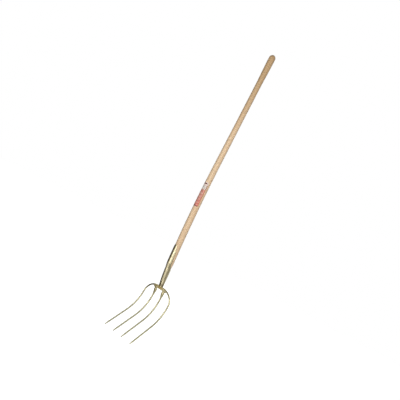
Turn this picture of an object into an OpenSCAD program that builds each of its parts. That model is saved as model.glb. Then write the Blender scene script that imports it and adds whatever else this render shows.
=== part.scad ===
// Four-tine manure fork: a bent wooden handle in a rolled steel socket, on a head of two bent bars.
// The origin is in the middle of the butt's cylindrical band. +Z runs out of the butt, along the straight
// stretch of the handle. The hollow side of the tines faces -Y, and X runs across the four tines.

/* [Handle] */
// Length of the wood along its axis, from the domed top to its end in the socket
handle_len = 1290; // [1200:5:1400]
// Diameter of the swelled butt
butt_d = 35; // [32:0.5:40]
// Length of the cylindrical band of the butt
butt_band = 24; // [16:1:40]
// Height of the dome over the butt
butt_dome = 20; // [12:1:28]
// Length over which the butt eases down to the waist
butt_ease = 146; // [80:2:180]
// Diameter of the slim waist below the butt
waist_d = 30.2; // [27:0.1:32]
// Length of the waist
waist_len = 210; // [120:5:240]
// Diameter of the swell above the socket
swell_d = 35; // [33:0.1:38]
// Distance from the swell down to the tip of the tongue
swell_to_tongue = 112; // [60:1:150]
// Diameter of the wood under the tongue
seat_d = 34.2; // [32:0.1:36]
// Length over which the wood is shaved down from the tongue's seat to the closed cone
shoulder_len = 40; // [25:1:60]
// Length of the wood inside the closed cone
wood_in_cone = 32; // [26:1:40]
// Length of the straight upper stretch, from the top of the butt
straight_len = 660; // [520:5:740]
// Radius of the bend below the straight stretch
bend_r = 6130; // [4500:10:9000]

/* [Socket] */
// Thickness of the rolled sheet
wall = 2; // [1.5:0.1:2.6]
// Gap between the wood and the sheet
fit_gap = 0.3; // [0.2:0.05:0.5]
// Length of the tongue, from its tip to the edge where the sheet closes round the wood
tongue_len = 139; // [115:1:165]
// Half angle that the tongue covers just below its round tip
tongue_tip_angle = 38; // [30:1:45]
// Half angle that the tongue covers at its root
tongue_root_angle = 65; // [55:1:80]
// Length of the tongue's rounded tip
tongue_round = 13; // [8:1:18]
// Length over which the sheet's edges flare out from the tongue to the seam
closing_len = 38; // [25:1:55]
// Distance from the closing edge to the centre of the bow's crossbar
closed_len = 94.5; // [85:0.5:110]
// Distance from the foot of the wood's shoulder to the closing edge
cone_lead = 4; // [2:1:8]
// Radius of the sharper backward bend of the cone
cone_bend_r = 1700; // [1200:10:6000]
// Outside diameter of the cone where it closes
cone_d = 32.4; // [30:0.1:34]
// Outside width of the flattened neck at the crossbar
neck_w = 27.2; // [25:0.1:32]
// Squareness of the flattened neck, where 2 is an oval
neck_square = 3.6; // [3:0.1:5]
// Distance that the neck's front and back lips reach past the centre of the bow's crossbar
lip_len = 4.4; // [3:0.1:5]
// Half angle over which the lips have their full length
lip_tip_angle = 30; // [20:1:40]
// Half angle at which the lips run out into the saddle
lip_root_angle = 62; // [54:1:64]
// Width of the butt seam at the back of the cone
seam_w = 0.8; // [0.4:0.1:1.5]

/* [Tines] */
// Developed length of a tine, from the centre of the bow's crossbar to the point
tine_len = 334; // [290:1:380]
// Backward lean of the tines where they leave the crossbars, in degrees
tine_root_angle = 13.3; // [8:0.1:16]
// Length of the straight root above the tines' bend
root_len = 4.5; // [3:0.5:30]
// Radius of the forward bend of the tines
tine_bend_r = 210; // [180:1:260]
// Forward slant of the straight ends of the tines, in degrees
tine_end_angle = 39.3; // [30:0.1:45]
// Spread of the outer points, centre to centre
outer_spread = 217; // [206:1:250]
// Spread of the bow's shoulders, centre to centre
shoulder_spread = 201; // [170:1:210]
// Drop of the shoulders below the bow's crossbar
shoulder_drop = 65; // [55:1:90]
// Straight middle stretch of the bow's crossbar
bow_flat = 40; // [24:1:60]
// Spread of the inner points, centre to centre
inner_spread = 69; // [60:1:80]
// Spread of the inner tines at their roots, centre to centre
inner_root_spread = 58.4; // [50:0.1:64]
// Bend radius of the two corners of the inner bar
corner_r = 10.5; // [9.5:0.5:14]
// Diameter of the bow's crossbar
bow_d = 8.4; // [7.6:0.1:10]
// Diameter of the bow at its shoulders
shoulder_d = 8.2; // [7.2:0.1:10]
// Diameter of the inner bar's crossbar
inner_bar_d = 8.8; // [8:0.1:11]
// Width of the forged roots of the inner tines
inner_root_w = 18; // [12:0.1:19]
// Thickness of the forged roots of the inner tines
inner_root_t = 14; // [9:0.1:15]
// Distance from the end of an inner corner to the widest place of its root
root_rise = 5; // [3:0.5:10]
// Length over which the forged roots of the inner tines thin down
inner_root_len = 30; // [20:1:60]
// Diameter of the inner tines below their roots
inner_tine_d = 8.6; // [7:0.1:10]
// Diameter of every tine where its point begins
tine_end_d = 7.6; // [6:0.1:8]
// Length of the tapered point
point_len = 24; // [16:1:40]
// Diameter of the blunt point, above its rounded end
point_d = 4.4; // [2.5:0.1:5.5]
// Length of the point's rounded end
point_round = 2; // [1:0.1:3]
// Gap between the bars and round the bow in its saddle, which the welds bridge
bar_gap = 0.3; // [0.2:0.1:0.6]

/* [Welds and rivet] */
// Radius of a lip's bead
weld_r = 2.2; // [1.5:0.1:3]
// Length of a lip's bead between the centres of its round ends
weld_len = 15; // [8:1:20]
// Radius of a corner's bead
fillet_r = 2.8; // [2:0.1:3.2]
// Length of a corner's bead between the centres of its round ends
fillet_len = 4; // [2:0.5:6]
// Gap between a bead and what it lies on
weld_gap = 0.2; // [0.1:0.05:0.4]
// Diameter of the cross rivet
rivet_d = 5; // [4:0.1:6]
// Diameter of the rivet's peened heads
rivet_head_d = 7.4; // [7:0.1:9]
// Height of the rivet's peened heads
rivet_head_h = 0.9; // [0.6:0.1:1.5]
// Distance from the rivet to the end of the wood
rivet_inset = 13; // [10:0.5:16]
// Gap between the rivet and the holes it passes through
rivet_gap = 0.1; // [0.05:0.05:0.3]
// Gap between the rivet's heads and the sheet
head_gap = 0.2; // [0.2:0.05:0.4]

/* [Label] */
// Distance from the top of the butt to the label
label_from = 762; // [700:1:850]
// Length of the label
label_len = 131; // [90:1:150]
// Half angle that the label covers, in degrees
label_angle = 52.5; // [37.5:7.5:67.5]
// Thickness of the label
label_t = 0.25; // [0.2:0.05:0.5]
// Gap between the label and the wood
label_gap = 0.05; // [0.05:0.05:0.2]

/* [Hidden] */
$fn = 64;
wood_colour = "#d9b98f";
steel_colour = "#a89a66";
bead_colour = "#b08d4c";
label_colour = "#c8492f";

// Stations along the axis, measured from the top of the butt
s_band = butt_dome;
s_ease = s_band + butt_band;
s_waist = s_ease + butt_ease;
s_waist_end = s_waist + waist_len;
s_close = handle_len - wood_in_cone;
s_cone = s_close - cone_lead;
s_shoulder = s_cone - shoulder_len;
s_tip = s_close - tongue_len;
s_swell = s_tip - swell_to_tongue;
s_crown = s_close + closed_len;
s_rivet = handle_len - rivet_inset;
s_saddle = s_crown - bow_d / 2 - bar_gap;
butt_top = butt_dome + butt_band / 2;
seat_drop = bow_d / 2 + inner_bar_d / 2 + bar_gap;
neck_t = bow_d + 2 * (bar_gap + wall);

// Mesh fineness of the swept pieces
wood_sides = 48;
bar_sides = 12;
sheet_columns = 38;
dome_steps = 10;
ease_steps = 14;
bend_steps = 16;
shoulder_steps = 12;
cone_steps = 4;
tip_steps = 6;
tongue_steps = 8;
closing_steps = 9;
closed_steps = 8;
arc_steps = 16;
leg_steps = 24;
corner_steps = 7;
root_steps = 6;
label_steps = 8;
// The swept wood is a hair thinner than the turned wood, so that the two join inside its end face
sweep_step = 0.06;
// Length by which the swept wood reaches up into the turned wood
sweep_overlap = 3;
// Overshoot of a cut past the surface that it opens
cut_over = 4;
// How fast the outer tines spread towards their points, where 1 is straight
splay_power = 1.2;
// Angle round an inner corner at which its bead lies
fillet_angle = 55;

function mix(a, b, x) = a + (b - a) * x;
function clamp01(x) = max(0, min(1, x));
function ease(x) = let(c = clamp01(x)) c * c * (3 - 2 * c);

// The axis of handle and socket: straight, bent back towards +Y, then bent more sharply along the cone
function wood_turn(s) = max(0, min(s, s_cone) - straight_len) / bend_r * 180 / PI;
function axis_turn(s) = wood_turn(s) + max(0, s - s_cone) / cone_bend_r * 180 / PI;
function axis_point(s) =
    let(a = wood_turn(s), b = axis_turn(s))
    [
        0,
        bend_r * (1 - cos(a)) + cone_bend_r * (cos(a) - cos(b)),
        butt_top - min(s, straight_len) - bend_r * sin(a) - cone_bend_r * (sin(b) - sin(a))
    ];
function axis_front(s) = let(a = axis_turn(s)) [0, -cos(a), -sin(a)];
// A point beside the axis, at an angle from the front towards +X
function beside(s, angle, r) = axis_point(s) + r * (sin(angle) * [1, 0, 0] + cos(angle) * axis_front(s));

// Half sizes of the sheet's outside, and the wood that fills it
function along_cone(s) = clamp01((s - s_cone) / (s_crown - s_cone));
function neck_depth(s) = mix(cone_d, neck_t, along_cone(s)) / 2;
function neck_breadth(s) = mix(cone_d, neck_w, along_cone(s)) / 2;
function wood_r(s) =
    s <= s_waist ? mix(butt_d, waist_d, ease((s - s_ease) / butt_ease)) / 2 :
    s <= s_swell ? mix(waist_d, swell_d, clamp01((s - s_waist_end) / (s_swell - s_waist_end))) / 2 :
    s <= s_tip ? mix(swell_d, seat_d, ease((s - s_swell) / swell_to_tongue)) / 2 :
    s <= s_cone ? mix(seat_d / 2, cone_d / 2 - wall - fit_gap, ease((s - s_shoulder) / shoulder_len)) :
    neck_depth(s) - wall - fit_gap;
function sheet_depth(s) = s <= s_cone ? wood_r(s) + fit_gap + wall : neck_depth(s);
function sheet_breadth(s) = s <= s_cone ? sheet_depth(s) : neck_breadth(s);
function sheet_r(s, angle, inset) =
    let(power = mix(2, neck_square, along_cone(s)))
    pow(
        pow(abs(sin(angle)) / (sheet_breadth(s) - inset), power)
        + pow(abs(cos(angle)) / (sheet_depth(s) - inset), power),
        -1 / power
    );

// A closed skin through rings of points, with a flat face over the first and the last ring
module skin(rings) {
    n = len(rings[0]);
    last = (len(rings) - 1) * n;
    polyhedron(
        points = [for (ring = rings) each ring],
        faces = concat(
            [[for (j = [n - 1:-1:0]) j]],
            [[for (j = [0:n - 1]) last + j]],
            [
                for (i = [0:len(rings) - 2], j = [0:n - 1])
                    let(a = i * n + j, b = i * n + (j + 1) % n)
                    each [[a, b, b + n], [a, b + n, a + n]]
            ]
        )
    );
}

// A sheet between an outer and an inner grid of points
module sheet(outer, inner) {
    rows = len(outer);
    n = len(outer[0]);
    under = rows * n;
    polyhedron(
        points = concat([for (row = outer) each row], [for (row = inner) each row]),
        faces = concat(
            [
                for (i = [0:rows - 2], j = [0:n - 2])
                    let(a = i * n + j, b = a + under)
                    each [
                        [a, a + 1, a + 1 + n], [a, a + 1 + n, a + n],
                        [b, b + 1 + n, b + 1], [b, b + n, b + 1 + n]
                    ]
            ],
            [
                for (i = [0:rows - 2])
                    let(a = i * n, b = a + n - 1)
                    each [
                        [a, a + n, a + n + under], [a, a + n + under, a + under],
                        [b, b + n + under, b + n], [b, b + under, b + n + under]
                    ]
            ],
            [
                for (j = [0:n - 2])
                    let(a = j, b = (rows - 1) * n + j)
                    each [
                        [a, a + 1 + under, a + 1], [a, a + under, a + 1 + under],
                        [b, b + 1, b + 1 + under], [b, b + 1 + under, b + under]
                    ]
            ]
        )
    );
}

// The rivet's hole or shank, across the closed cone
module rivet_bar(d, length) {
    translate(axis_point(s_rivet))
        rotate([0, 90, 0])
            cylinder(d = d, h = length, center = true);
}

// The turned upper stretch: dome, band, waist and the start of the long taper
module turned_wood() {
    dome = [
        for (k = [0:dome_steps])
            let(q = 90 * k / dome_steps)
            [butt_d / 2 * sin(q), butt_top - butt_dome * (1 - cos(q))]
    ];
    butt = [
        for (k = [0:ease_steps])
            let(s = s_ease + butt_ease * k / ease_steps)
            [wood_r(s), butt_top - s]
    ];
    taper = [for (s = [s_waist_end, straight_len]) [wood_r(s), butt_top - s]];
    rotate_extrude()
        polygon(concat(dome, butt, taper, [[0, butt_top - straight_len]]));
}

// The bent lower stretch, down to its end in the cone
module bent_wood() {
    start = straight_len - sweep_overlap;
    stations = concat(
        [for (k = [0:bend_steps - 1]) mix(start, s_shoulder, k / bend_steps)],
        [for (k = [0:shoulder_steps - 1]) mix(s_shoulder, s_cone, k / shoulder_steps)],
        [for (k = [0:cone_steps]) mix(s_cone, handle_len, k / cone_steps)]
    );
    skin([
        for (s = stations)
            [for (k = [0:wood_sides - 1]) beside(s, 360 * k / wood_sides, wood_r(s) - sweep_step)]
    ]);
}

module handle() {
    color(wood_colour)
        difference() {
            union() {
                turned_wood();
                bent_wood();
            }
            rivet_bar(rivet_d + 2 * rivet_gap, cone_d + cut_over);
        }
}

// Half angle covered by the sheet: the tongue's round tip, its long flare, then out to the seam
function tongue_angle(s) =
    let(
        down = s - s_tip,
        flare = clamp01((down - tongue_round) / (tongue_len - tongue_round - closing_len)),
        side = mix(tongue_tip_angle, tongue_root_angle, 1 - pow(1 - flare, 2)),
        round = clamp01(down / tongue_round)
    )
    side * sqrt(1 - pow(1 - round, 2));
function seam_angle(s) = 180 - seam_w / 2 / sheet_depth(s) * 180 / PI;
function sheet_angle(s) =
    let(x = clamp01((s - s_close + closing_len) / closing_len))
    mix(tongue_angle(s), seam_angle(s), 1 - sqrt(1 - x * x));

// The lower edge: notched over the bow at both sides, with a lip in front and behind
function lip_share(angle) =
    ease((abs(cos(angle)) - cos(lip_root_angle)) / (cos(lip_tip_angle) - cos(lip_root_angle)));
function lower_edge(angle) = mix(s_saddle, s_crown + lip_len, lip_share(angle));

module socket() {
    tip_rows = [for (k = [1:tip_steps]) s_tip + tongue_round * (1 - cos(90 * k / tip_steps))];
    s_flare = s_tip + tongue_round;
    s_root = s_close - closing_len;
    open_rows = concat(
        tip_rows,
        [for (k = [1:tongue_steps]) mix(s_flare, s_root, k / tongue_steps)],
        [for (k = [1:closing_steps]) s_root + closing_len * sin(90 * k / closing_steps)]
    );
    open_cells = [
        for (s = open_rows)
            [for (j = [0:sheet_columns]) [s, sheet_angle(s) * (2 * j / sheet_columns - 1)]]
    ];
    closed_cells = [
        for (k = [1:closed_steps])
            [
                for (j = [0:sheet_columns])
                    let(
                        angle = sheet_angle(s_close) * (2 * j / sheet_columns - 1),
                        s = mix(s_close, lower_edge(angle), k / closed_steps)
                    )
                    [s, angle]
            ]
    ];
    cells = concat(open_cells, closed_cells);
    color(steel_colour)
        difference() {
            sheet(
                [for (row = cells) [for (c = row) beside(c[0], c[1], sheet_r(c[0], c[1], 0))]],
                [for (row = cells) [for (c = row) beside(c[0], c[1], sheet_r(c[0], c[1], wall))]]
            );
            rivet_bar(rivet_d + 2 * rivet_gap, cone_d + cut_over);
        }
}

// The head is drawn flat, with x across it and v down it, and then bent forward along its run
crown = axis_point(s_crown);
bend_end = root_len + (tine_root_angle + tine_end_angle) * PI / 180 * tine_bend_r;
function heading(v) = min(tine_end_angle, max(0, v - root_len) / tine_bend_r * 180 / PI - tine_root_angle);
function run_dir(h) = [0, -sin(h), -cos(h)];
function face_dir(h) = [0, -cos(h), sin(h)];
function run_point(v) =
    let(h = heading(v))
    min(v, root_len) * run_dir(-tine_root_angle)
    + tine_bend_r * [0, cos(h) - cos(tine_root_angle), -sin(h) - sin(tine_root_angle)]
    + max(0, v - bend_end) * run_dir(tine_end_angle);
function mirrored(half) =
    concat([for (i = [len(half) - 1:-1:1]) [-half[i][0], half[i][1]]], half);

// A bar along a flat path, with its half width and half thickness looked up by v
module bar(path, widths, depths) {
    last = len(path) - 1;
    skin([
        for (i = [0:last])
            let(
                step = path[min(last, i + 1)] - path[max(0, i - 1)],
                t = step / norm(step),
                v = path[i][1],
                h = heading(v),
                centre = crown + [path[i][0], 0, 0] + run_point(v),
                across = t[0] * run_dir(h) - t[1] * [1, 0, 0],
                half_w = lookup(v, widths) / 2,
                half_t = lookup(v, depths) / 2
            )
            [
                for (k = [0:bar_sides - 1])
                    let(q = 360 * k / bar_sides)
                    centre + half_w * cos(q) * across + half_t * sin(q) * face_dir(h)
            ]
    ]);
}

// Stations down a leg, and the sizes of its point, which are the same on every tine
v_point = tine_len - point_len;
v_round = tine_len - point_round;
function leg_stations(from) =
    concat([for (k = [0:leg_steps]) mix(from, v_point, k / leg_steps)], [v_round, tine_len]);
point_sizes = [[v_point, tine_end_d], [v_round, point_d], [tine_len, point_d / 2]];

flat_half = bow_flat / 2;
shoulder_half = shoulder_spread / 2;
root_half = inner_root_spread / 2;

module outer_tines() {
    arch = [
        for (k = [0:arc_steps - 1])
            let(q = 90 * k / arc_steps)
            [mix(flat_half, shoulder_half, sin(q)), shoulder_drop * (1 - cos(q))]
    ];
    leg = [
        for (v = leg_stations(shoulder_drop))
            let(f = (v - shoulder_drop) / (tine_len - shoulder_drop))
            [mix(shoulder_half, outer_spread / 2, pow(f, splay_power)), v]
    ];
    sizes = concat([[0, bow_d], [shoulder_drop, shoulder_d]], point_sizes);
    color(steel_colour)
        bar(mirrored(concat([[0, 0]], arch, leg)), sizes, sizes);
}

module inner_tines() {
    corner = [
        for (k = [0:corner_steps - 1])
            let(q = 90 * k / corner_steps)
            [root_half - corner_r * (1 - sin(q)), seat_drop + corner_r * (1 - cos(q))]
    ];
    v_root = seat_drop + corner_r;
    v_wide = v_root + root_rise;
    v_thin = v_wide + inner_root_len;
    root_stations = [for (k = [0:root_steps]) mix(v_wide, v_thin, k / root_steps)];
    leg = [
        for (v = concat([v_root], [for (k = [0:root_steps - 1]) root_stations[k]], leg_stations(v_thin)))
            let(f = (v - v_root) / (tine_len - v_root))
            [mix(root_half, inner_spread / 2, f), v]
    ];
    function root_sizes(size) =
        [for (v = root_stations) [v, mix(size, inner_tine_d, ease((v - v_wide) / inner_root_len))]];
    widths = concat([[seat_drop, inner_bar_d]], root_sizes(inner_root_w), point_sizes);
    depths = concat([[seat_drop, inner_bar_d]], root_sizes(inner_root_t), point_sizes);
    color(steel_colour)
        bar(mirrored(concat([[0, seat_drop]], corner, leg)), widths, depths);
}

module bead(radius, length) {
    cylinder(r = radius, h = length, center = true);
    for (end = [-1, 1])
        translate([0, 0, end * length / 2])
            sphere(r = radius);
}

// A lip's bead lies on the inner crossbar, close under the neck; side is 1 in front and -1 behind
module lip_bead(side) {
    skew = tine_root_angle - axis_turn(s_crown);
    lip_y = side > 0 ? neck_t / 2 - wall : neck_t / 2;
    lip_v = lip_len * cos(skew) - side * lip_y * sin(skew);
    bead_v = lip_v + weld_r + weld_gap;
    reach = inner_bar_d / 2 + weld_r + weld_gap;
    bead_y = sqrt(reach * reach - pow(seat_drop - bead_v, 2));
    translate([0, -side * bead_y, -bead_v])
        rotate([0, 90, 0])
            bead(weld_r, weld_len);
}

// A corner's bead fills the wedge between the bow and an inner corner; side is 1 at +X and -1 at -X
function bow_v(x) =
    shoulder_drop * (1 - sqrt(1 - pow((x - flat_half) / (shoulder_half - flat_half), 2)))
    + bow_d / 2 + fillet_r + weld_gap;
function corner_x(v) =
    let(
        share = corner_r * (1 - cos(fillet_angle)) / (corner_r + root_rise),
        half_w = mix(inner_bar_d, inner_root_w, share) / 2,
        reach = corner_r + half_w + fillet_r + weld_gap
    )
    root_half - corner_r + sqrt(reach * reach - pow(seat_drop + corner_r - v, 2));

module fillet_bead(side) {
    first_x = corner_x(bow_v(root_half));
    second_x = corner_x(bow_v(first_x));
    bead_v = bow_v(second_x);
    translate([side * corner_x(bead_v), 0, -bead_v])
        rotate([90, 0, 0])
            bead(fillet_r, fillet_len);
}

module crown_welds() {
    color(bead_colour)
        translate(crown)
            rotate([tine_root_angle, 0, 0])
                for (side = [-1, 1]) {
                    lip_bead(side);
                    fillet_bead(side);
                }
}

module socket_rivet() {
    seat = neck_breadth(s_rivet) + head_gap;
    color(steel_colour)
        translate(axis_point(s_rivet))
            rotate([0, 90, 0])
                rotate_extrude()
                    polygon([
                        [0, -seat - rivet_head_h], [rivet_d / 2, -seat - rivet_head_h],
                        [rivet_head_d / 2, -seat], [rivet_d / 2, -seat],
                        [rivet_d / 2, seat], [rivet_head_d / 2, seat],
                        [rivet_d / 2, seat + rivet_head_h], [0, seat + rivet_head_h]
                    ]);
}

module handle_label() {
    columns = round(2 * label_angle / (360 / wood_sides));
    cells = [
        for (k = [0:label_steps])
            [
                for (j = [0:columns])
                    [label_from + label_len * k / label_steps, label_angle * (2 * j / columns - 1)]
            ]
    ];
    color(label_colour)
        sheet(
            [for (row = cells) [for (c = row) beside(c[0], c[1], wood_r(c[0]) + label_gap + label_t)]],
            [for (row = cells) [for (c = row) beside(c[0], c[1], wood_r(c[0]) + label_gap)]]
        );
}

handle();
socket();
outer_tines();
inner_tines();
crown_welds();
socket_rivet();
handle_label();
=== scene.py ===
import math

import bpy
from mathutils import Euler, Matrix, Vector


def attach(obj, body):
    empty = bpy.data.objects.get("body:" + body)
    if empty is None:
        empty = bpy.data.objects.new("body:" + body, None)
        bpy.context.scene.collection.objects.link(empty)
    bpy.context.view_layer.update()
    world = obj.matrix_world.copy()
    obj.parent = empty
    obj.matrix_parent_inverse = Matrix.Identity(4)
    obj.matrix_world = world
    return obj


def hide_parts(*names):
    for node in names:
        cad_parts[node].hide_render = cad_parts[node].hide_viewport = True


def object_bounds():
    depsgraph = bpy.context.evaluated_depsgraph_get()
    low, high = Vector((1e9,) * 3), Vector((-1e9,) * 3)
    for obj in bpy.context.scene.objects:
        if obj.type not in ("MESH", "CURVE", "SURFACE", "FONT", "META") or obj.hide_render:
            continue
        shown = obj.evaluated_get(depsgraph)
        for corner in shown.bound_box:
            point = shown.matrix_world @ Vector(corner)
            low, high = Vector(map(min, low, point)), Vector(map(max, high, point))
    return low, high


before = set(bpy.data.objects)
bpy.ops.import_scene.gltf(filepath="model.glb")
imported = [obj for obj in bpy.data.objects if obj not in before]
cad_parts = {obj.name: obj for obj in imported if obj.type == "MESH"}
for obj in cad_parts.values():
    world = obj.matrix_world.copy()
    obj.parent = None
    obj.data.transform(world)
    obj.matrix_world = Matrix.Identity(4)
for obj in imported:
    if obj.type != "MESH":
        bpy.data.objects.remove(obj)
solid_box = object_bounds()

# The handle is one ash pole, turned to a domed butt, a slim waist and a swell above the socket.
# Its lower half is steamed and bent back, its end is thinned to a peg that is driven into the socket,
# and the whole pole is sanded and thinly varnished.
pole_top = 0.032
pole_length = 1.290
straight_length = 0.660
pole_bend, neck_bend = 6.130, 1.700
butt_radius, waist_radius, swell_radius, seat_radius = 0.0175, 0.0151, 0.0175, 0.0171
dome_height, dome_fullness = 0.020, 1.15
mouth_width, neck_width, neck_depth = 0.0324, 0.0272, 0.0130
sheet_wall = 0.002
fit_gap = 0.0003
year_width = 0.0031

# Stations are measured down the pole from the top of its butt.
band_start, band_end = 0.030, 0.044
waist_start, waist_end = 0.190, 0.400
swell_station = 1.007
tongue_tip = 1.119
shoulder_start = 1.214
socket_mouth = 1.254
crown_station = 1.3525


def clamped(x):
    return min(max(x, 0.0), 1.0)


def ease(x):
    """A soft step from 0 at 0 to 1 at 1."""
    c = clamped(x)
    return c * c * (3 - 2 * c)


def between(a, b, share):
    return a + (b - a) * share


def pole_lean(s):
    """How far the pole leans at a station: by the wood's own bend, and with the socket's sharper one."""
    wood = max(0.0, min(s, socket_mouth) - straight_length) / pole_bend
    return wood, wood + max(0.0, s - socket_mouth) / neck_bend


def pole_point(s):
    """The middle of the pole at a station."""
    a, b = pole_lean(s)
    back = pole_bend * (1 - math.cos(a)) + neck_bend * (math.cos(a) - math.cos(b))
    down = min(s, straight_length) + pole_bend * math.sin(a) + neck_bend * (math.sin(b) - math.sin(a))
    return Vector((0, back, pole_top - down))


def along_neck(s):
    """The share of the way from the socket's mouth to the crown."""
    return clamped((s - socket_mouth) / (crown_station - socket_mouth))


def neck_half_depth(s):
    return between(mouth_width, neck_depth, along_neck(s)) / 2


def pole_radius(s):
    """The wood's radius at a station, from the butt's band to the peg inside the socket."""
    if s > socket_mouth:
        return neck_half_depth(s) - sheet_wall - fit_gap
    if s > shoulder_start:
        peg_radius = mouth_width / 2 - sheet_wall - fit_gap
        return between(seat_radius, peg_radius, ease((s - shoulder_start) / (socket_mouth - shoulder_start)))
    if s > swell_station:
        return between(swell_radius, seat_radius, ease((s - swell_station) / (tongue_tip - swell_station)))
    if s > waist_end:
        return between(waist_radius, swell_radius, (s - waist_end) / (swell_station - waist_end))
    return between(butt_radius, waist_radius, ease((s - band_end) / (waist_start - band_end)))


def sweep(name, rings, sides):
    """A closed bar: a circle at each station, bridged one to the next, and a face on both ends."""
    bpy.ops.object.select_all(action="DESELECT")
    bpy.ops.mesh.primitive_circle_add(vertices=sides)
    piece = bpy.context.object
    piece.name = piece.data.name = name
    bpy.ops.object.mode_set(mode="EDIT")
    bpy.ops.mesh.delete(type="VERT")
    for place, turn, width, depth in rings:
        bpy.ops.mesh.primitive_circle_add(vertices=sides, radius=depth / 2, location=place, rotation=turn)
        if abs(width - depth) > 1e-6:
            bpy.ops.transform.resize(value=(width / depth, 1, 1), center_override=place,
                                     orient_type="GLOBAL", orient_matrix_type="GLOBAL",
                                     orient_matrix=Euler(turn).to_matrix())
    bpy.ops.mesh.select_all(action="SELECT")
    bpy.ops.mesh.bridge_edge_loops()
    bpy.ops.mesh.select_all(action="DESELECT")
    bpy.ops.mesh.select_non_manifold()
    bpy.ops.mesh.edge_face_add()
    bpy.ops.mesh.select_all(action="SELECT")
    bpy.ops.mesh.normals_make_consistent(inside=False)
    bpy.ops.object.mode_set(mode="OBJECT")
    bpy.ops.object.shade_smooth_by_angle(angle=math.radians(40))
    return piece


class Tone:
    """A value on its way to a shader: sums on it add Math nodes, and node() adds any other node."""

    def __init__(self, tree, socket=None):
        self.tree, self.socket = tree, socket

    def node(self, kind, settings, sockets, out=0):
        """One output of a new node, whose settings are made before its sockets are set or linked."""
        made = self.tree.nodes.new("ShaderNode" + kind)
        for name, value in settings.items():
            setattr(made, name, value)
        for name, value in sockets.items():
            if isinstance(value, Tone):
                self.tree.links.new(value.socket, made.inputs[name])
            else:
                made.inputs[name].default_value = value
        return Tone(self.tree, made.outputs[out])

    def maths(self, operation, a, b=0.0):
        return self.node("Math", {"operation": operation}, {0: a, 1: b})

    def __add__(self, other):
        return self.maths("ADD", self, other)

    def __radd__(self, other):
        return self.maths("ADD", other, self)

    def __sub__(self, other):
        return self.maths("SUBTRACT", self, other)

    def __rsub__(self, other):
        return self.maths("SUBTRACT", other, self)

    def __mul__(self, other):
        return self.maths("MULTIPLY", self, other)

    def __rmul__(self, other):
        return self.maths("MULTIPLY", other, self)

    def __truediv__(self, other):
        return self.maths("DIVIDE", self, other)

    def __rtruediv__(self, other):
        return self.maths("DIVIDE", other, self)

    def __abs__(self):
        return self.maths("ABSOLUTE", self)

    def either(self, other):
        """The stronger of two masks."""
        return self.maths("MAXIMUM", self, other)

    def over(self, low, high):
        """0 below low, 1 above high and a soft step between them."""
        return self.node("MapRange", {"interpolation_type": "SMOOTHSTEP"}, {0: self, 1: low, 2: high})

    def band(self, low, full, fading, high):
        """1 from full to fading, 0 outside low and high, and a soft step on each side."""
        return self.over(low, full) * (1 - self.over(fading, high))

    def mixed(self, a, b):
        """Two colours, mixed by this value."""
        return self.node("Mix", {"data_type": "RGBA"}, {0: self, 6: a, 7: b}, 2)

    def noise(self, scale, detail, roughness=0.5):
        """Cloudy noise from 0 to 1 over this place."""
        return self.node("TexNoise", {}, {"Vector": self, "Scale": scale, "Detail": detail,
                                          "Roughness": roughness})

    def bump(self, distance, strength):
        """This relief as a normal."""
        return self.node("Bump", {}, {"Height": self, "Distance": distance, "Strength": strength})

    def parts(self):
        """A place, taken apart into x, y and z."""
        apart = self.node("SeparateXYZ", {}, {0: self})
        return [Tone(self.tree, socket) for socket in apart.socket.node.outputs]


def colour(red, green, blue):
    """A colour as a picture shows it, from 0 to 255, made linear for the shader."""
    def linear(v):
        v /= 255
        return v / 12.92 if v <= 0.04045 else ((v + 0.055) / 1.055) ** 2.4
    return linear(red), linear(green), linear(blue), 1.0


def finish(name, piece):
    """A new material on a piece: its shader, and the piece's own coordinates to build tones from."""
    material = bpy.data.materials.new(name)
    material.use_nodes = True
    piece.data.materials.clear()
    piece.data.materials.append(material)
    place = Tone(material.node_tree).node("TexCoord", {}, {}, "Object")
    return material.node_tree.nodes["Principled BSDF"], place


def feed(shader, **values):
    """Links tones to a shader's sockets, and sets plain values on them."""
    for name, value in values.items():
        target = shader.inputs[name.replace("_", " ")]
        if isinstance(value, Tone):
            value.tree.links.new(value.socket, target)
        else:
            target.default_value = value


rings = []
for degrees in [1, 3] + list(range(6, 96, 6)):
    q = math.radians(degrees)
    width = 2 * butt_radius * math.sin(q) ** dome_fullness
    rings.append(((0, 0, pole_top - dome_height * (1 - math.cos(q))), (0, 0, 0), width, width))
stations = [band_start] + [between(band_end, waist_start, k / 20) for k in range(21)]
stations += [waist_start + 0.010 * k for k in range(1, 103)]
stations += [between(shoulder_start, socket_mouth, k / 10) for k in range(11)]
stations += [1.260, 1.270, 1.280, pole_length]
for s in stations:
    width = 2 * pole_radius(s)
    rings.append((pole_point(s), (pole_lean(s)[1], 0, 0), width, width))
handle = sweep("ash_handle", rings, 64)

shader, place = finish("varnished_ash", handle)
pale_wood, butt_wood = colour(238, 208, 171), colour(198, 166, 124)
pale_cloud, butt_cloud = colour(232, 190, 146), colour(196, 156, 108)
pale_ring, butt_ring = colour(212, 168, 120), colour(176, 136, 90)
fibre_gleam, pore_brown, dome_brown = colour(248, 228, 196), colour(150, 108, 70), colour(156, 130, 98)
x, y, z = place.parts()
below_straight = z.maths("MAXIMUM", pole_top - straight_length - z)
across = y - below_straight * below_straight / (2 * pole_bend)
slow_grain = place.node("CombineXYZ", {}, {0: x, 1: across, 2: z * 0.12})
long_grain = place.node("CombineXYZ", {}, {0: x, 1: across, 2: z * 0.025})
from_pith_x = x - 0.026 + z * 0.013
from_pith_y = across - 0.047 - z * 0.006
from_pith = place.maths("SQRT", from_pith_x * from_pith_x + from_pith_y * from_pith_y)
year = place.maths("FRACT", (from_pith + slow_grain.noise(34, 2) * 0.0050) / year_width)
early_wood = year.band(0.45, 0.92, 0.94, 1.0)
fibre = long_grain.noise(900, 4, 0.6)
pores = long_grain.noise(2100, 1).over(0.56, 0.70) * (early_wood * 0.8 + 0.12)
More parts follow.
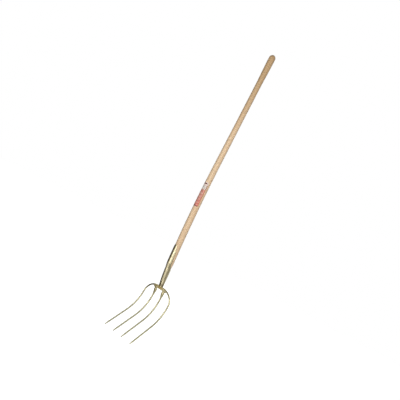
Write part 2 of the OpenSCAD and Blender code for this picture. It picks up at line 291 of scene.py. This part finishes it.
cloud = slow_grain.noise(45, 3).over(0.36, 0.66)
# The wood turns golden brown towards the butt. This is partly the ash's own tone and partly painted light
# falloff, darker towards the top of the pole.
butt_tone_and_falloff = z.over(-0.58, -0.06)
wood = butt_tone_and_falloff.mixed(pale_wood, butt_wood)
wood = (cloud * 0.35).mixed(wood, butt_tone_and_falloff.mixed(pale_cloud, butt_cloud))
wood = (early_wood * 0.24).mixed(wood, butt_tone_and_falloff.mixed(pale_ring, butt_ring))
wood = (fibre.over(0.35, 0.75) * 0.14).mixed(wood, fibre_gleam)
wood = (pores * 0.22).mixed(wood, pore_brown)
wood = (z.over(0.004, 0.030) * 0.6).mixed(wood, dome_brown)
relief = fibre * 0.4 - pores * 1.0 - early_wood * 0.25
feed(shader, Base_Color=wood, Roughness=0.46 + fibre * 0.14 + pores * 0.15, Normal=relief.bump(0.00012, 0.35),
     Specular_IOR_Level=0.35, Coat_Weight=0.12, Coat_Roughness=0.32)
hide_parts("handle")
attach(handle, "root")

# The socket is a blank of 2 mm sheet steel, rolled round the handle's end until its edges meet at the back.
# Its upper end is left as a long rounded tongue up the front of the wood, its lower end is pressed flatter
# and saddles the tine bars with a lip on each side. It is lacquered a pale golden bronze.
closing_station, closing_length = 1.258, 0.038
saddle_start, saddle_side, saddle_lip = 1.300, 1.3480, 1.3569
tongue_round, tongue_flare = 0.013, 0.088
tongue_half_angle, flared_half_angle = 38, 65
lip_half_angle, saddle_half_angle = 30, 62
seam_half_gap = 0.0004
neck_squareness = 3.6
edge_dressing = 0.00035
rows, columns, tip_rows = 176, 72, 16
# The third tone darkens the socket's lower end. It is partly weld discolouration and partly painted shade where
# the socket meets the crown.
sheet_tones = colour(186, 174, 136), colour(172, 159, 120), colour(104, 88, 48)


def beside_pole(s, angle, radius):
    """The place at a station of the pole, at an angle from its front and a distance from its middle."""
    lean = pole_lean(s)[1]
    front = Vector((0, -math.cos(lean), -math.sin(lean)))
    return pole_point(s) + radius * (math.sin(angle) * Vector((1, 0, 0)) + math.cos(angle) * front)


def tongue_angle(s):
    """How far the tongue reaches round the wood, in degrees: a round tip and a slow flare."""
    rounding = clamped((s - tongue_tip) / tongue_round)
    flare = clamped((s - tongue_tip - tongue_round) / tongue_flare)
    reach = between(tongue_half_angle, flared_half_angle, 1 - (1 - flare) ** 2)
    return reach * math.sqrt(1 - (1 - rounding) ** 2)


def sheet_half_angle(s):
    """How far the sheet reaches round the wood: the tongue, then a throat that closes to the seam."""
    depth = neck_half_depth(s) if s > socket_mouth else pole_radius(s) + sheet_wall + fit_gap
    closed = 180 - math.degrees(seam_half_gap / depth)
    throat = clamped((s - closing_station + closing_length) / closing_length)
    return math.radians(between(tongue_angle(s), closed, 1 - math.sqrt(1 - throat * throat)))


def sheet_radius(s, angle):
    """The sheet's outside: round on the wood, and flatter and squarer down the neck."""
    if s <= socket_mouth:
        return pole_radius(s) + sheet_wall + fit_gap
    power = between(2, neck_squareness, along_neck(s))
    half_width = between(mouth_width, neck_width, along_neck(s)) / 2
    sideways = (abs(math.sin(angle)) / half_width) ** power
    forward = (abs(math.cos(angle)) / neck_half_depth(s)) ** power
    return (sideways + forward) ** (-1 / power)


def lower_edge(angle):
    """The station of the sheet's lower edge: a lip in front and behind, and the saddle between them."""
    low, high = math.cos(math.radians(saddle_half_angle)), math.cos(math.radians(lip_half_angle))
    return between(saddle_side, saddle_lip, ease((abs(math.cos(angle)) - low) / (high - low)))


bpy.ops.object.select_all(action="DESELECT")
bpy.ops.mesh.primitive_grid_add(x_subdivisions=columns, y_subdivisions=rows, size=2)
rolled = bpy.context.object
rolled.name = rolled.data.name = "rolled_socket"
for corner in rolled.data.vertices:
    row = round((1 - corner.co.y) / 2 * rows)
    if row < tip_rows:
        s = tongue_tip + tongue_round * (1 - math.cos(math.pi / 2 * row / tip_rows))
    else:
        s = between(tongue_tip + tongue_round, saddle_lip, (row - tip_rows) / (rows - tip_rows))
    angle = corner.co.x * sheet_half_angle(s)
    if s > saddle_start:
        s = between(saddle_start, lower_edge(angle), (s - saddle_start) / (saddle_lip - saddle_start))
    corner.co = beside_pole(s, angle, sheet_radius(s, angle))
bpy.ops.object.mode_set(mode="EDIT")
bpy.ops.mesh.select_all(action="SELECT")
bpy.ops.mesh.remove_doubles(threshold=0.00002)
bpy.ops.mesh.normals_make_consistent(inside=False)
bpy.ops.object.mode_set(mode="OBJECT")
middle = rolled.data.polygons[len(rolled.data.polygons) // 2]
if middle.normal.dot(Vector((middle.center.x, -0.01, 0))) < 0:
    rolled.data.flip_normals()
wall = rolled.modifiers.new("sheet", "SOLIDIFY")
wall.thickness, wall.offset = sheet_wall, -1
bpy.ops.object.modifier_apply(modifier=wall.name)
edges = rolled.modifiers.new("dressed_edges", "BEVEL")
edges.width, edges.segments = edge_dressing, 2
edges.limit_method, edges.angle_limit = "ANGLE", math.radians(55)
bpy.ops.object.modifier_apply(modifier=edges.name)
bpy.ops.object.shade_smooth_by_angle(angle=math.radians(40))


def lacquered_steel(name, piece, tones, depth, coat):
    """Steel under a clear golden lacquer, greyer and thinner towards the points. Near the crown it takes its
    third tone: weld tint, with painted shade on the socket's end and painted light on the bars. The forged roots
    carry painted shade.
    """
    light_tone, deep_tone, weld_and_painted_light_tone = tones
    point_grey, heat_gold, root_shade_brown = colour(200, 197, 152), colour(230, 204, 122), colour(116, 107, 74)
    speck_brown, scuff_grey = colour(120, 106, 72), colour(200, 194, 168)
    shader, place = finish(name, piece)
    x, _, z = place.parts()
    mottle = place.noise(55, 4, 0.6)
    speck = place.noise(900, 3)
    scuffs = place.noise(260, 6, 0.75)
    from_middle = abs(x)
    to_points = 1 - z.over(-1.58, -1.36)
    # Next to the crown the steel takes its third tone: weld tint, plus painted shade at the socket's lower end
    # and painted light on the bars beside it.
    weld_tint_and_painted_light = (1 - from_middle.over(0.024, 0.070)) * z.band(-1.362, -1.328, -1.306, -1.296)
    heated = (1 - from_middle.over(0.006, 0.020)) * z.band(-1.362, -1.328, -1.316, -1.308)
    # The forged roots are rougher and less metallic from forge scale. Their brown is painted shade, heavier on
    # the left root than on the right.
    forge_scale_and_shade = from_middle.band(0.020, 0.026, 0.036, 0.041) * z.band(-1.385, -1.350, -1.340, -1.326)
    on_neck = (1 - from_middle.over(0.014, 0.034)) * (1 - z.over(-1.325, -1.300))
    on_arch = (1 - from_middle.over(0.036, 0.056)) * z.band(-1.336, -1.328, -1.318, -1.308)
    steel = mottle.over(0.30, 0.70).mixed(light_tone, deep_tone)
    steel = (to_points * 0.8).mixed(steel, point_grey)
    steel = (weld_tint_and_painted_light * 0.9).mixed(steel, weld_and_painted_light_tone)
    steel = (heated * 0.45).mixed(steel, heat_gold)
    steel = (forge_scale_and_shade * (0.5 - x * 6.0)).mixed(steel, root_shade_brown)
    steel = (speck.over(0.58, 0.72) * 0.22).mixed(steel, speck_brown)
    steel = (scuffs.over(0.62, 0.74) * 0.25).mixed(steel, scuff_grey)
    relief = mottle + speck * 0.06 - scuffs.over(0.60, 0.76) * 0.06
    roughness = 0.13 + mottle * 0.06 + scuffs.over(0.55, 0.75) * 0.12 + forge_scale_and_shade * 0.25
    metallic = 0.70 - on_neck.either(on_arch) * 0.52 - forge_scale_and_shade * 0.20
    feed(shader, Base_Color=steel, Roughness=roughness, Metallic=metallic, Normal=relief.bump(depth, 0.3),
         Specular_Tint=colour(214, 206, 166), Coat_Weight=coat, Coat_Roughness=0.10, Coat_IOR=1.7)


lacquered_steel("lacquered_socket", rolled, sheet_tones, 0.0003, 1.0)
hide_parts("socket")
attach(rolled, "root")

# The rivet is a soft steel pin driven across the socket and the peg, from side to side.
# Both its ends are hammered over into low heads, and it is lacquered with the socket.
rivet_seat = pole_point(1.277)
head_profile = [(-0.01669, 0.0016), (-0.01664, 0.0036), (-0.01648, 0.0054), (-0.01618, 0.0067),
                (-0.01579, 0.0074), (-0.01577, 0.0050)]
pin_profile = head_profile + [(-along, wide) for along, wide in reversed(head_profile)]
rings = [(rivet_seat + Vector((along, 0, 0)), (0, math.pi / 2, 0), wide, wide) for along, wide in pin_profile]
rivet = sweep("cross_rivet", rings, 32)
lacquered_steel("lacquered_rivet", rivet, sheet_tones, 0.0004, 1.0)
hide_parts("socket_rivet")
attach(rivet, "root")

# The outer tines are one round steel bar, drawn down to a point at both ends and bent over a former
# into a wide bow whose middle lies in the socket's saddle. Both legs sweep back and then well forward.
crown = pole_point(crown_station)
root_lean, point_lean = math.radians(13.3), math.radians(39.3)
root_length = 0.0045
sweep_radius = 0.210
tine_length = 0.334
point_start = 0.310
bow_half_flat = 0.020
bow_shoulder, bow_point = 0.1005, 0.1085
shoulder_drop = 0.065
point_sizes = [(point_start, 0.0076), (0.332, 0.0044), (0.3327, 0.0040), (0.3333, 0.0033),
               (0.3337, 0.0026), (tine_length, 0.0016)]
bow_sizes = [(0.0, 0.0084), (shoulder_drop, 0.0082)] + point_sizes
# The third tone lightens the bars beside the crown. It is partly weld tint and partly painted light, set against
# the dark cards they mirror.
bar_tones = colour(192, 185, 144), colour(178, 170, 128), colour(226, 211, 162)


def heading(v):
    """How far a tine leans forward, v down it from the crown."""
    return min(point_lean, max(0.0, v - root_length) / sweep_radius - root_lean)


def down_tine(lean):
    return Vector((0, -math.sin(lean), -math.cos(lean)))


def on_head(x, v):
    """The place on the swept face of the head: x across it, v down it from the crown."""
    lean = heading(v)
    bend_end = root_length + sweep_radius * (point_lean + root_lean)
    arc = sweep_radius * Vector((0, math.cos(lean) - math.cos(root_lean), -math.sin(lean) - math.sin(root_lean)))
    straight = min(v, root_length) * down_tine(-root_lean) + max(0.0, v - bend_end) * down_tine(point_lean)
    return crown + Vector((x, 0, 0)) + straight + arc


def taper(sizes, v):
    """A bar's thickness, v down it from the crown, from a list of places and sizes."""
    for (v0, d0), (v1, d1) in zip(sizes, sizes[1:]):
        if v <= v1:
            return between(d0, d1, (v - v0) / (v1 - v0))
    return sizes[-1][1]


def bar_rings(half, widths, depths):
    """Rings along a bar that is alike on both sides: its left half, tip first, then its right half."""
    path = [(-x, v) for x, v in reversed(half)] + [(x, v) for x, v in half if x > 1e-6]
    made = []
    for k, (x, v) in enumerate(path):
        before, after = path[max(k - 1, 0)], path[min(k + 1, len(path) - 1)]
        step = Vector((after[0] - before[0], after[1] - before[1])).normalized()
        down = down_tine(heading(v))
        along = step.x * Vector((1, 0, 0)) + step.y * down
        across_bar = step.x * down - step.y * Vector((1, 0, 0))
        turn = Matrix((across_bar, along.cross(across_bar), along)).transposed().to_euler()
        made.append((on_head(x, v), turn, taper(widths, v), taper(depths, v)))
    return made


def leg_stations(start):
    """Stations down a leg: even to where its point begins, then closer round the blunt end."""
    shank = [between(start, point_start, k / 60) for k in range(61)]
    return shank + [0.315, 0.321, 0.327, 0.332, 0.3327, 0.3333, 0.3337, tine_length]


bow_half = [(0.0, 0.0), (bow_half_flat / 2, 0.0)]
for k in range(41):
    q = math.radians(90 * k / 40)
    bow_half.append((between(bow_half_flat, bow_shoulder, math.sin(q)), shoulder_drop * (1 - math.cos(q))))
for v in leg_stations(shoulder_drop)[1:]:
    share = (v - shoulder_drop) / (tine_length - shoulder_drop)
    bow_half.append((between(bow_shoulder, bow_point, share ** 1.2), v))
outer = sweep("outer_tine_bow", bar_rings(bow_half, bow_sizes, bow_sizes), 28)
lacquered_steel("lacquered_outer_tines", outer, bar_tones, 0.0002, 0.3)
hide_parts("outer_tines")
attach(outer, "root")

# The inner tines are a second bar, bent square into a narrow fork whose crossbar lies against the bow.
# Below its two corners the roots are forged thick and wide, and both legs are drawn down to a point.
crossbar_drop = 0.0089
corner_radius = 0.0105
leg_top = crossbar_drop + corner_radius
root_middle, root_end = 0.0244, 0.0544
root_width, root_depth = 0.018, 0.014
crossbar_size, shank_size = 0.0088, 0.0086
inner_root, inner_point = 0.0292, 0.0345


def root_sizes(size):
    """Sizes down an inner leg: a swell to the forged root, then a slow thinning to the shank."""
    swelling = [(between(crossbar_drop, root_middle, k / 10), between(crossbar_size, size, ease(k / 10)))
                for k in range(10)]
    thinning = [(between(root_middle, root_end, k / 12), between(size, shank_size, ease(k / 12)))
                for k in range(13)]
    return swelling + thinning + point_sizes


fork_half = [(0.0, crossbar_drop), (0.006, crossbar_drop), (0.012, crossbar_drop)]
for k in range(17):
    q = math.radians(90 * k / 16)
    fork_half.append((inner_root - corner_radius * (1 - math.sin(q)),
                      crossbar_drop + corner_radius * (1 - math.cos(q))))
root_stations = [0.0207, 0.0220, 0.0232] + [between(root_middle, root_end, k / 12) for k in range(12)]
for v in root_stations + leg_stations(root_end):
    fork_half.append((between(inner_root, inner_point, (v - leg_top) / (tine_length - leg_top)), v))
inner = sweep("inner_tine_fork", bar_rings(fork_half, root_sizes(root_width), root_sizes(root_depth)), 28)
lacquered_steel("lacquered_inner_tines", inner, bar_tones, 0.0002, 0.3)
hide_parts("inner_tines")
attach(inner, "root")

# The welds join the socket's two lips and the two bars at the crown: a short rippled bead under each lip,
# and on each side a fillet of weld metal that fills the wedge between the bow and the inner root
# and runs out under the bow. The heat has tinted them gold under the lacquer.
ripple_pitch = 0.0019
lip_bead_half, lip_bead_round, lip_bead_thick = 0.0067, 0.003, 0.0044
fillet_inner, fillet_middle, fillet_outer = 0.0215, 0.0370, 0.0525
inner_foot, middle_foot, outer_foot = 0.0090, 0.0210, 0.0098
fillet_thick, fillet_end_thick = 0.0074, 0.0050
head_turn = Matrix.Rotation(root_lean, 3, "X")


def ripple(x, height):
    """The faint waves along a bead, as a share of its size."""
    return 1 - height * (1 + math.cos(2 * math.pi * x / ripple_pitch))


def lip_bead(name, forward, drop):
    """A rippled bead with rounded ends, laid across the fork under one of the socket's lips."""
    reach, steps = lip_bead_half + lip_bead_round, 40
    made = []
    for k in range(1, steps):
        x = between(-reach, reach, k / steps)
        past = max(abs(x) - lip_bead_half, 0.0)
        size = lip_bead_thick * math.sqrt(1 - (past / lip_bead_round) ** 2) * ripple(x, 0.05)
        place = crown + head_turn @ Vector((x, forward, drop))
        made.append((place, (0, math.pi / 2, 0), size, size))
    return sweep(name, made, 24)


def corner_fillet(name, side):
    """A fillet that fills the wedge between the bow and an inner root, and runs out under the bow."""
    steps = 60
    outward = Vector((side, 0, 0))
    made = []
    for k in range(steps + 1):
        x = between(fillet_inner, fillet_outer, k / steps)
        bow_share = (x - bow_half_flat) / (bow_shoulder - bow_half_flat)
        high = shoulder_drop * (1 - math.sqrt(1 - bow_share ** 2))
        run_out = (x - fillet_middle) / (fillet_outer - fillet_middle)
        if x < fillet_middle:
            low = between(inner_foot, middle_foot, (x - fillet_inner) / (fillet_middle - fillet_inner))
        else:
            low = between(middle_foot, outer_foot, run_out ** 0.85)
        down = down_tine(heading((high + low) / 2))
        turn = Matrix((down.cross(outward), down, outward)).transposed().to_euler()
        thick = between(fillet_thick, fillet_end_thick, ease(run_out))
        full = ripple(x, 0.006)
        made.append((on_head(side * x, (high + low) / 2), turn, thick * full, (low - high) * full))
    return sweep(name, made, 24)


welds = [lip_bead("weld_front_lip", -0.00634, -0.00644), lip_bead("weld_back_lip", 0.00661, -0.00729),
         corner_fillet("weld_left_corner", -1), corner_fillet("weld_right_corner", 1)]
for weld in welds:
    weld.select_set(True)
bpy.context.view_layer.objects.active = welds[0]
bpy.ops.object.join()
beads = bpy.context.object
beads.name = beads.data.name = "crown_weld_beads"

shader, place = finish("lacquered_welds", beads)
bright_gold, deep_gold, spatter_brown = colour(238, 194, 108), colour(214, 190, 122), colour(98, 82, 50)
shaded_left_corner, lit_right_corner = colour(190, 178, 130), colour(226, 218, 176)
mottle = place.noise(240, 4)
spatter = place.noise(1400, 2)
x = place.parts()[0]
gold = mottle.over(0.32, 0.66).mixed(bright_gold, deep_gold)
# The two corner fillets are coloured apart: the left one darker as painted shade, the right one lighter as
# painted light.
gold = (abs(x).over(0.014, 0.022) * 0.8).mixed(gold, x.over(-0.020, 0.020).mixed(shaded_left_corner, lit_right_corner))
gold = (spatter.over(0.60, 0.70) * 0.5).mixed(gold, spatter_brown)
relief = mottle + spatter * 0.4
feed(shader, Base_Color=gold, Roughness=0.26 + mottle * 0.2, Normal=relief.bump(0.0002, 0.4),
     Metallic=0.5, Coat_Weight=0.6, Coat_Roughness=0.12)
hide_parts("crown_welds")
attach(beads, "root")

# The label is a strip of coated paper, printed red below and white above, with rounded corners.
# It is glued round the front of the handle below the middle.
label_start, label_length = 0.764, 0.137
label_half_angle = math.radians(66)
label_width = 2 * label_half_angle * pole_radius(label_start + label_length / 2)
label_thick, label_gap = 0.00025, 0.00005
label_corner = 0.009
label_columns, label_rows = 28, 16
bpy.ops.object.select_all(action="DESELECT")
bpy.ops.mesh.primitive_plane_add(size=1)
label = bpy.context.object
label.name = label.data.name = "paper_label"
bpy.ops.object.mode_set(mode="EDIT")
bpy.ops.transform.resize(value=(label_width, label_length, 1))
bpy.ops.mesh.bevel(offset=label_corner, segments=8, affect="VERTICES")
for k in range(1, label_columns):
    fold = between(-0.5, 0.5, k / label_columns) * label_width
    bpy.ops.mesh.select_all(action="SELECT")
    bpy.ops.mesh.bisect(plane_co=(fold, 0, 0), plane_no=(1, 0, 0))
for k in range(1, label_rows):
    fold = between(-0.5, 0.5, k / label_rows) * label_length
    bpy.ops.mesh.select_all(action="SELECT")
    bpy.ops.mesh.bisect(plane_co=(0, fold, 0), plane_no=(0, 1, 0))
bpy.ops.object.mode_set(mode="OBJECT")
print_map = label.data.uv_layers.active or label.data.uv_layers.new(name="print")
for loop in label.data.loops:
    flat = label.data.vertices[loop.vertex_index].co
    print_map.data[loop.index].uv = (flat.x / label_width + 0.5, flat.y / label_length + 0.5)
for corner in label.data.vertices:
    s = label_start + label_length / 2 - corner.co.y
    angle = corner.co.x / label_width * 2 * label_half_angle
    corner.co = beside_pole(s, angle, pole_radius(s) + label_gap + label_thick)
paper = label.modifiers.new("paper", "SOLIDIFY")
paper.thickness, paper.offset = label_thick, -1
bpy.ops.object.modifier_apply(modifier=paper.name)
bpy.ops.object.shade_smooth_by_angle(angle=math.radians(40))

# The print is laid out in millimetres up from the label's foot and out from its middle line.
shader, place = finish("printed_paper", label)
foot_red, field_red, faded_red = colour(124, 48, 42), colour(216, 120, 104), colour(210, 140, 124)
border_red, faded_border, motif_pale = colour(206, 126, 92), colour(200, 136, 106), colour(240, 214, 196)
clean_white, aged_white, bar_grey = colour(238, 220, 208), colour(230, 208, 196), colour(206, 212, 206)
side_brown, head_brown, worn_paper = colour(146, 110, 98), colour(100, 50, 40), colour(236, 214, 200)
lozenge_pitch, lozenge_foot = 17.0, 14.0
u, v, _ = place.node("TexCoord", {}, {}, "UV").parts()
side = abs((u - 0.5) * (label_width * 1000))
up_mm = v * (label_length * 1000)


def printed_bar(middle, half_height, half_width):
    """A level bar on the print."""
    level_bar = 1 - abs(up_mm - middle).over(half_height, half_height + 0.3)
    return level_bar * (1 - side.over(half_width, half_width + 0.4))


fibres = place.noise(1500, 4)
fading = place.noise(90, 3)
edge = side.over(18.7, 19.0).either(1 - up_mm.band(0.8, 1.2, 135.2, 135.6))
red_field = (1 - up_mm.over(95.0, 95.4)) * (1 - edge)
border = side.over(14.0, 14.6).either(up_mm.over(92.6, 93.0))
foot = 1 - up_mm.over(5.4, 5.8)
beat = abs(place.maths("FRACT", (up_mm - lozenge_foot) / lozenge_pitch) - 0.5) * lozenge_pitch
from_heart = side / 10.5 + beat / 6.4
lozenges = from_heart.band(0.42, 0.50, 0.94, 1.02) * up_mm.band(13.8, 14.2, 64.8, 65.2)
motif = lozenges.either(printed_bar(9.6, 1.0, 11.4)).either(printed_bar(74.0, 2.6, 11.4))
head_line = printed_bar(129.5, 2.9, 11.8)
head_bar = printed_bar(109.0, 6.0, 11.0)
side_line = side.over(14.6, 15.2) * (1 - edge) * (1 - up_mm.over(122.0, 122.4))
faded = up_mm.over(10.0, 60.0)
print_red = faded.mixed(field_red, faded_red)
print_red = border.mixed(print_red, faded.mixed(border_red, faded_border))
print_red = foot.mixed(print_red, foot_red)
print_red = (motif * 0.5).mixed(print_red, motif_pale)
paper_white = fading.over(0.3, 0.7).mixed(clean_white, aged_white)
paper_white = (head_bar * 0.6).mixed(paper_white, bar_grey)
paper_white = side_line.mixed(paper_white, side_brown)
paper_white = head_line.mixed(paper_white, head_brown)
design = red_field.mixed(paper_white, print_red)
worn_design = (fibres.over(0.60, 0.72) * 0.25).mixed(design, worn_paper)
feed(shader, Base_Color=worn_design, Roughness=0.38 + fibres * 0.2, Normal=fibres.bump(0.00004, 0.5))
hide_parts("handle_label")
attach(label, "root")

# The studio: a pale floor under the points and a white surround, two soft boxes that light the fork,
# two that only shine in the metal, and dark, grey and bright cards that only reflections see.
# The camera stands at the angle of the picture.
floor_level = solid_box[0][2] - 0.001
floor_glow = 0.88
surround_fill = 0.18
lit_middle = Vector((0, 0, -0.8))
black, white = (0, 0, 0, 1), (1, 1, 1, 1)


def seen_rays(tone):
    """1 for the rays that show the background, straight or mirrored, and 0 for those that light the fork."""
    camera_ray, glossy_ray, clear_ray = [tone.node("LightPath", {}, {}, "Is " + kind + " Ray")
                                         for kind in ("Camera", "Glossy", "Transmission")]
    return camera_ray.either(glossy_ray).either(clear_ray)


bpy.ops.object.select_all(action="DESELECT")
bpy.ops.mesh.primitive_plane_add(size=40, location=(0, 0, floor_level))
floor = bpy.context.object
floor.name = "studio_floor"
bpy.ops.object.transform_apply(location=True)
shader, place = finish("pale_floor", floor)
feed(shader, Base_Color=(0.80, 0.80, 0.80, 1), Roughness=0.9, Specular_IOR_Level=0.0,
     Emission_Strength=floor_glow, Emission_Color=seen_rays(place).mixed(black, white))

surround = bpy.data.worlds.new("white_surround")
bpy.context.scene.world = surround
surround.use_nodes = True
seen = seen_rays(Tone(surround.node_tree))
feed(surround.node_tree.nodes["Background"], Color=white, Strength=surround_fill + seen * (1 - surround_fill))


def direction(turn, height):
    """The way out from the fork, at a turn round it and a height over the level, both in degrees."""
    turn, height = math.radians(turn), math.radians(height)
    return Vector((math.sin(turn) * math.cos(height), -math.cos(turn) * math.cos(height), math.sin(height)))


picture_turn, picture_height = 43.5232, -4.5579
picture_roll = math.radians(27.2660)
picture_distance = 2.71477
away = direction(picture_turn, picture_height)
level = direction(picture_turn + 90, 0)
upward = away.cross(level)
right = level * math.cos(picture_roll) + upward * math.sin(picture_roll)
up = upward * math.cos(picture_roll) - level * math.sin(picture_roll)
aim = Vector((0, 0, -0.788)) - 0.0154823 * right - 0.0382608 * up
lens = bpy.data.cameras.new("picture_camera")
lens.lens, lens.sensor_width, lens.sensor_fit = 47.285, 36, "HORIZONTAL"
camera = bpy.data.objects.new("picture_camera", lens)
bpy.context.scene.collection.objects.link(camera)
facing = Matrix((right, up, away)).transposed().to_4x4()
camera.matrix_world = Matrix.Translation(aim + away * picture_distance) @ facing
bpy.context.scene.camera = camera


def soft_box(name, turn, height, distance, width, tall, brightness):
    """A soft box at a turn round the fork, aimed at the middle of the handle."""
    lamp = bpy.data.lights.new(name, "AREA")
    lamp.shape, lamp.size, lamp.size_y = "RECTANGLE", width, tall
    lamp.energy = brightness * math.pi * width * tall
    box = bpy.data.objects.new(name, lamp)
    bpy.context.scene.collection.objects.link(box)
    toward = direction(turn, height)
    facing = toward.to_track_quat("Z", "Y").to_matrix().to_4x4()
    box.matrix_world = Matrix.Translation(lit_middle + toward * distance) @ facing
    return box


strip = soft_box("strip_box", 8, -20, 1.3, 0.20, 0.75, 5.6)
strip.visible_camera = strip.visible_diffuse = False
sheen = soft_box("sheen_box", 33, 7, 2.0, 1.3, 1.0, 2.6)
sheen.visible_camera = sheen.visible_diffuse = False
soft_box("key_box", 43, 14, 3.2, 2.2, 2.6, 4.0).visible_glossy = False
soft_box("back_box", 215, 25, 3.4, 2.4, 2.2, 2.2).visible_glossy = False


def flag(name, size, place, turn, shade):
    """A card beside the fork that only the bright metal sees."""
    bpy.ops.object.select_all(action="DESELECT")
    bpy.ops.mesh.primitive_plane_add(size=1, location=place, rotation=turn)
    card = bpy.context.object
    card.name = name
    card.scale = (size[0], size[1], 1)
    bpy.ops.object.transform_apply(location=True, rotation=True, scale=True)
    shader = finish(name + "_cloth", card)[0]
    feed(shader, Base_Color=black, Roughness=1.0, Specular_IOR_Level=0.0,
         Emission_Color=(shade, shade, shade, 1), Emission_Strength=1.0)
    card.visible_camera = card.visible_diffuse = card.visible_shadow = card.visible_transmission = False


lying, facing_side, facing_front = (0, 0, 0), (0, math.pi / 2, 0), (math.pi / 2, 0, 0)
flag("dark_flag", (4.4, 5.7), (-1.2, -0.15, floor_level + 2.2), facing_side, 0.03)
flag("dark_floor_flag", (1.26, 3.2), (-0.57, 1.13, floor_level + 0.002), lying, 0.03)
flag("dark_side_flag", (0.58, 0.38), (-0.91, -0.66, floor_level + 0.002), lying, 0.03)
flag("dark_front_flag", (1.15, 0.8), (-0.42, -1.5, -0.37), facing_front, 0.05)
flag("ceiling_flag", (1.65, 2.25), (-0.08, 0.02, 0.6), lying, 0.05)
flag("bright_floor_flag", (0.95, 0.085), (-0.06, -0.68, floor_level + 0.003), (0, 0, math.radians(-38)), 2.8)
flag("grey_flag", (4.4, 4.4), (2.0, 1.0, floor_level + 2.2), facing_side, 0.45)
flag("grey_floor_flag", (1.6, 3.2), (1.15, 0.7, floor_level + 0.002), lying, 0.45)

bpy.context.scene.view_settings.view_transform = "Standard"
